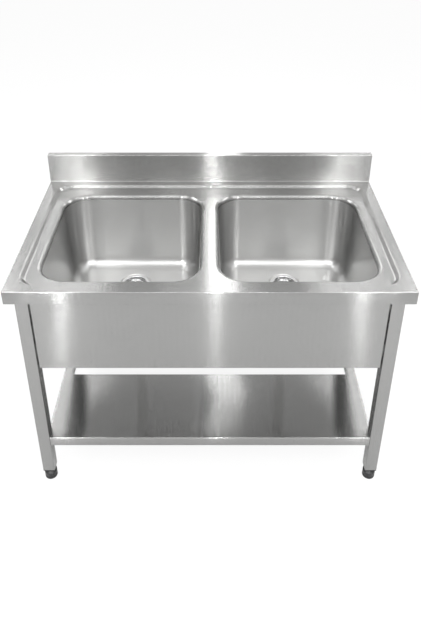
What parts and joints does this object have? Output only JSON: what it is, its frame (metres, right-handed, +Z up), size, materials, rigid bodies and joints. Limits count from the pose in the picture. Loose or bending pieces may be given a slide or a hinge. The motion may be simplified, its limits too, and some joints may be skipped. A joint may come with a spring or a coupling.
{
  "type": "kitchen sink unit",
  "caption": "Free-standing catering sink unit in stainless steel with twin bowls, rear upstand, apron, square legs on screw feet and a lower shelf.",
  "frame": {"origin": "on the floor under the centre of the unit's box, feet wound in", "axes": "+X to the unit's right seen from the front is the long side, +Y towards the wall and the upstand, +Z up"},
  "size_m": [1.2, 0.7, 0.94],
  "materials": {
    "brushed_sheet": "fine brushed grain, satin",
    "bowl_steel": "drawn bowl, satin polished",
    "brushed_tube": "brushed along the tube",
    "polished_steel": "polished",
    "fasteners": "plain",
    "rubber": "matt black",
    "waste_plastic": "white moulded",
    "foot_plastic": "black moulded"
  },
  "bodies": {
    "frame": {"apron_screws": "fasteners", "apron_spacers": "brushed_sheet", "bowl_left": "bowl_steel", "bowl_right": "bowl_steel", "centre_channel": "brushed_sheet", "coupling_nut_left": "waste_plastic", "coupling_nut_right": "waste_plastic", "flange_gasket_left": "rubber", "flange_gasket_right": "rubber", "foot_insert_front_left": "foot_plastic", "foot_insert_front_right": "foot_plastic", "foot_insert_rear_left": "foot_plastic", "foot_insert_rear_right": "foot_plastic", "friction_ring_left": "waste_plastic", "friction_ring_right": "waste_plastic", "front_apron": "brushed_sheet", "front_channel": "brushed_sheet", "leg_front_left": "brushed_tube", "leg_front_right": "brushed_tube", "leg_rear_left": "brushed_tube", "leg_rear_right": "brushed_tube", "leg_top_plates": "brushed_sheet", "lock_nut_left": "waste_plastic", "lock_nut_right": "waste_plastic", "lower_gasket_left": "rubber", "lower_gasket_right": "rubber", "rear_channel": "brushed_sheet", "rear_rail": "brushed_sheet", "shelf": "brushed_sheet", "shelf_brackets": "brushed_sheet", "shelf_fasteners": "fasteners", "shelf_stiffener_front": "brushed_sheet", "shelf_stiffener_rear": "brushed_sheet", "side_apron_left": "brushed_sheet", "side_apron_right": "brushed_sheet", "side_channel_left": "brushed_sheet", "side_channel_right": "brushed_sheet", "strainer_body_left": "polished_steel", "strainer_body_right": "polished_steel", "tailpiece_left": "waste_plastic", "tailpiece_right": "waste_plastic", "worktop": "brushed_sheet"},
    "foot_front_left": {"foot_base_front_left": "foot_plastic", "foot_spindle_front_left": "fasteners"},
    "foot_front_right": {"foot_base_front_right": "foot_plastic", "foot_spindle_front_right": "fasteners"},
    "foot_rear_left": {"foot_base_rear_left": "foot_plastic", "foot_spindle_rear_left": "fasteners"},
    "foot_rear_right": {"foot_base_rear_right": "foot_plastic", "foot_spindle_rear_right": "fasteners"},
    "strainer_basket_left": {"basket_left": "polished_steel", "basket_knob_left": "polished_steel", "basket_seal_left": "rubber"},
    "strainer_basket_right": {"basket_right": "polished_steel", "basket_knob_right": "polished_steel", "basket_seal_right": "rubber"}
  },
  "joints": [
    {"name": "foot_front_left_height", "type": "slide", "parent": "frame", "child": "foot_front_left", "axis": [0, 0, -1], "range_m": [0, 0.025]},
    {"name": "foot_front_right_height", "type": "slide", "parent": "frame", "child": "foot_front_right", "axis": [0, 0, -1], "range_m": [0, 0.025]},
    {"name": "foot_rear_left_height", "type": "slide", "parent": "frame", "child": "foot_rear_left", "axis": [0, 0, -1], "range_m": [0, 0.025]},
    {"name": "foot_rear_right_height", "type": "slide", "parent": "frame", "child": "foot_rear_right", "axis": [0, 0, -1], "range_m": [0, 0.025]},
    {"name": "basket_left_lift", "type": "slide", "parent": "frame", "child": "strainer_basket_left", "axis": [0, 0, 1], "range_m": [0, 0.46]},
    {"name": "basket_right_lift", "type": "slide", "parent": "frame", "child": "strainer_basket_right", "axis": [0, 0, 1], "range_m": [0, 0.46]}
  ]
}
